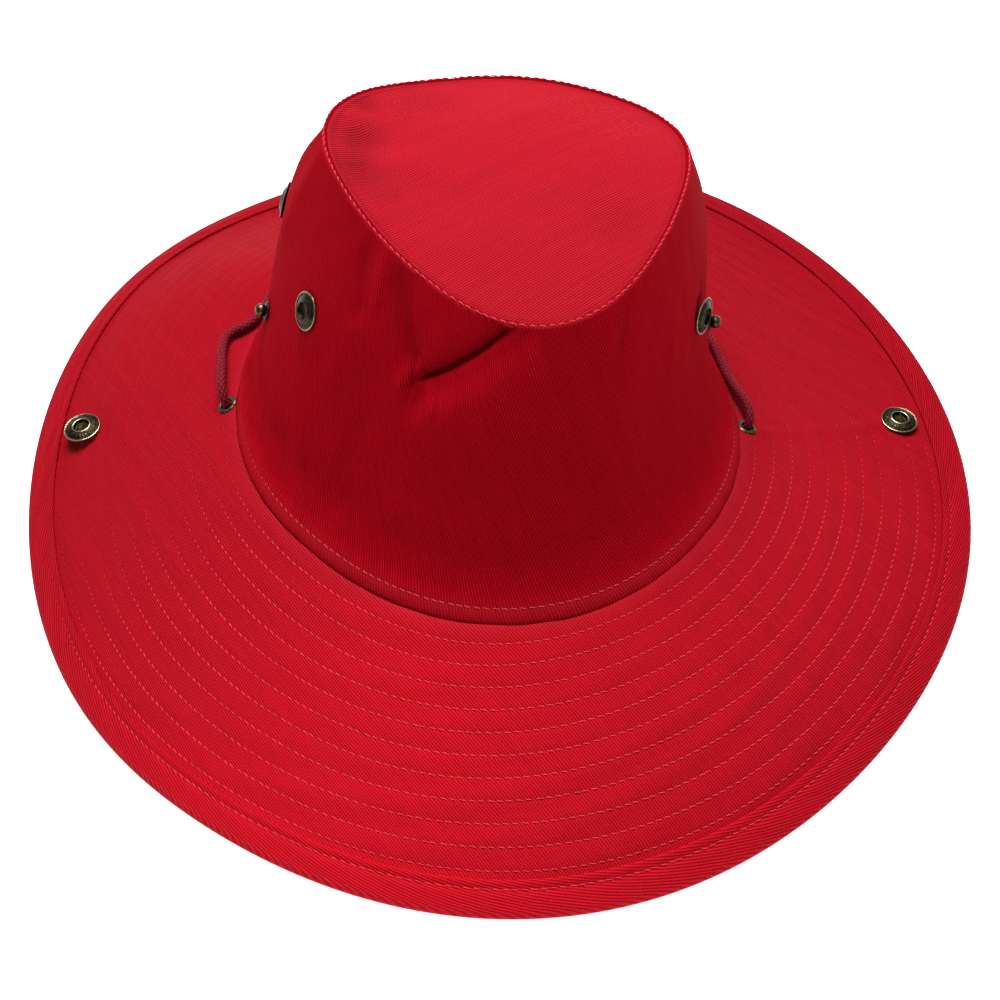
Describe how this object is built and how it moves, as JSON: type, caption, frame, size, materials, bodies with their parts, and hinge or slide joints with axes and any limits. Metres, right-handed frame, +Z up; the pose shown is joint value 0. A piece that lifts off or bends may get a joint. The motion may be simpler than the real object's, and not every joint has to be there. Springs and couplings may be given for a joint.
{
  "type": "wide-brimmed cotton sun hat",
  "caption": "Wide-brimmed cotton twill sun hat with a tapered crown, a stitched drooping brim with a bound edge, bronze snaps and eyelets, and a braided chin cord.",
  "frame": {"origin": "centre of the hat's outline at the height of the surface it rests on", "axes": "+Z up through the crown, -Y the front of the hat, +X the viewer's right in front of it"},
  "size_m": [0.3308, 0.3652, 0.1379],
  "materials": {
    "twill": "matte red cotton twill",
    "bronze": "antique bronze, worn bright at the edges",
    "braid": "round braided cord, dark red"
  },
  "bodies": {
    "root": {"crown_top": "twill", "crown_wall": "twill", "brim": "twill", "brim_binding": "twill", "eyelet_left": "bronze", "eyelet_right": "bronze", "snap_socket_left": "bronze", "snap_socket_right": "bronze", "snap_stud_left": "bronze", "snap_stud_right": "bronze", "crown_snap_front_left": "bronze", "crown_snap_front_right": "bronze", "crown_snap_back_left": "bronze", "crown_snap_back_right": "bronze", "chin_cord": "braid"}
  },
  "joints": []
}
